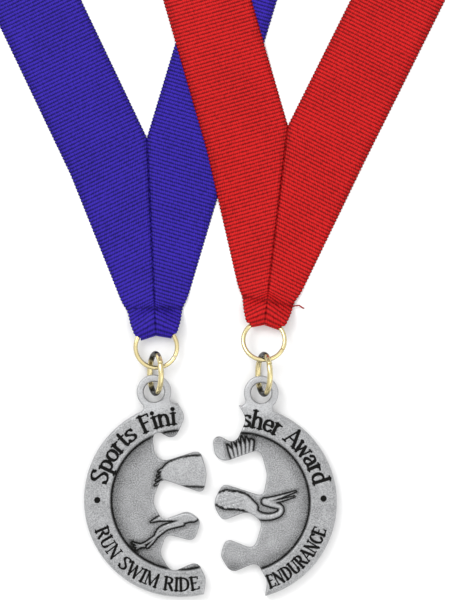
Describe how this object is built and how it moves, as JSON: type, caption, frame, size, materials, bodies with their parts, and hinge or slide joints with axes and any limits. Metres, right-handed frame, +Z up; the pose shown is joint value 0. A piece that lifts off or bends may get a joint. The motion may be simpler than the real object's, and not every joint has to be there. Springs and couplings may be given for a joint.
{
  "type": "sports finisher medal",
  "caption": "Round pewter medal cut into mating jigsaw halves, each hung by split rings from a flat grosgrain neck ribbon loop.",
  "frame": {"origin": "on the table plane, under the middle of the outline of the laid-out pair", "axes": "+Z up from the table through the medal faces, +Y from the medals to the neck end of the ribbons, +X to the right as the faces are read"},
  "size_m": [0.281, 0.3502, 0.0114],
  "materials": {
    "pewter": "antiqued cast pewter, dark in the hollows",
    "gold_plated_brass": "bright gold plate",
    "blue_grosgrain": "ribbed woven ribbon",
    "red_grosgrain": "ribbed woven ribbon",
    "blue_thread": "polyester thread",
    "red_thread": "polyester thread"
  },
  "bodies": {
    "blue_ribbon_body": {"blue_ribbon": "blue_grosgrain", "blue_seam_thread": "blue_thread", "blue_sleeve_stitches": "blue_thread"},
    "red_ribbon_body": {"red_ribbon": "red_grosgrain", "red_seam_thread": "red_thread", "red_sleeve_stitches": "red_thread"},
    "blue_ring_body": {"blue_ribbon_ring": "gold_plated_brass"},
    "left_jump_body": {"left_jump_ring": "gold_plated_brass"},
    "left_medal_body": {"left_medal_half": "pewter"},
    "red_ring_body": {"red_ribbon_ring": "gold_plated_brass"},
    "right_jump_body": {"right_jump_ring": "gold_plated_brass"},
    "right_medal_body": {"right_medal_half": "pewter"}
  },
  "joints": [
    {"name": "red_ribbon_lift", "type": "slide", "parent": "blue_ribbon_body", "child": "red_ribbon_body", "axis": [0, 0, 1], "range_m": [0, 0.1]},
    {"name": "blue_ring_tilt", "type": "hinge", "parent": "blue_ribbon_body", "child": "blue_ring_body", "pos_m": [-0.01775, -0.10418, 0.0023], "axis": [1, 0, 0], "range_deg": [-12, 0]},
    {"name": "left_jump_swing", "type": "hinge", "parent": "blue_ring_body", "child": "left_jump_body", "pos_m": [-0.01775, -0.11503, 0.0027], "axis": [1, 0, 0], "range_deg": [-75, 0]},
    {"name": "left_medal_turn", "type": "hinge", "parent": "left_jump_body", "child": "left_medal_body", "pos_m": [-0.01884, -0.1206, 0.0027], "axis": [0, 0, 1], "range_deg": [-40, 1]},
    {"name": "red_ring_tilt", "type": "hinge", "parent": "red_ribbon_body", "child": "red_ring_body", "pos_m": [0.01045, -0.10271, 0.002], "axis": [1, 0, 0], "range_deg": [-12, 0]},
    {"name": "right_jump_swing", "type": "hinge", "parent": "red_ring_body", "child": "right_jump_body", "pos_m": [0.01045, -0.11295, 0.0056], "axis": [1, 0, 0], "range_deg": [-75, 0]},
    {"name": "right_medal_turn", "type": "hinge", "parent": "right_jump_body", "child": "right_medal_body", "pos_m": [0.00951, -0.1208, 0.0027], "axis": [0, 0, 1], "range_deg": [-1, 40]}
  ]
}
